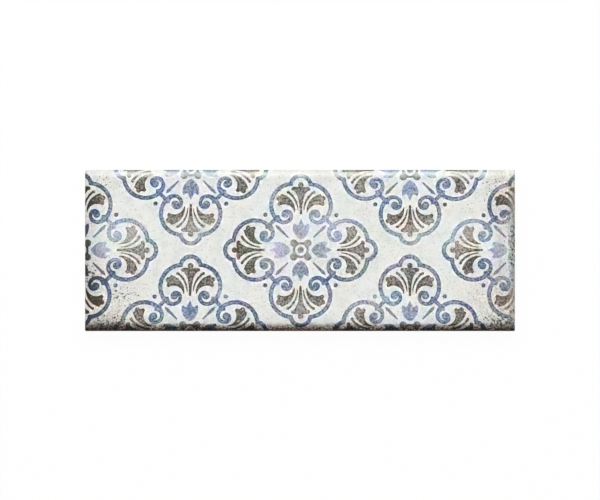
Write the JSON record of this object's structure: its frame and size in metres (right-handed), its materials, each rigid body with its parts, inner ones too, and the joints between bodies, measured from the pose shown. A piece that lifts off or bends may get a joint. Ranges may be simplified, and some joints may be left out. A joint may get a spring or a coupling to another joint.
{
  "type": "decorative wall tile",
  "caption": "Oblong glazed ceramic wall tile with softly pillowed edges, a printed scroll and palmette pattern on its face and a keyed back for adhesive.",
  "frame": {"origin": "middle of the back, on the plane that the tile rests on and is bedded against", "axes": "+X along the tile's length, +Y across its width, +Z out of the glazed face"},
  "size_m": [0.2, 0.075, 0.009],
  "materials": {
    "glazed_clay": "satin off-white glaze with a worn blue and taupe print"
  },
  "bodies": {
    "root": {"tile": "glazed_clay"}
  },
  "joints": []
}
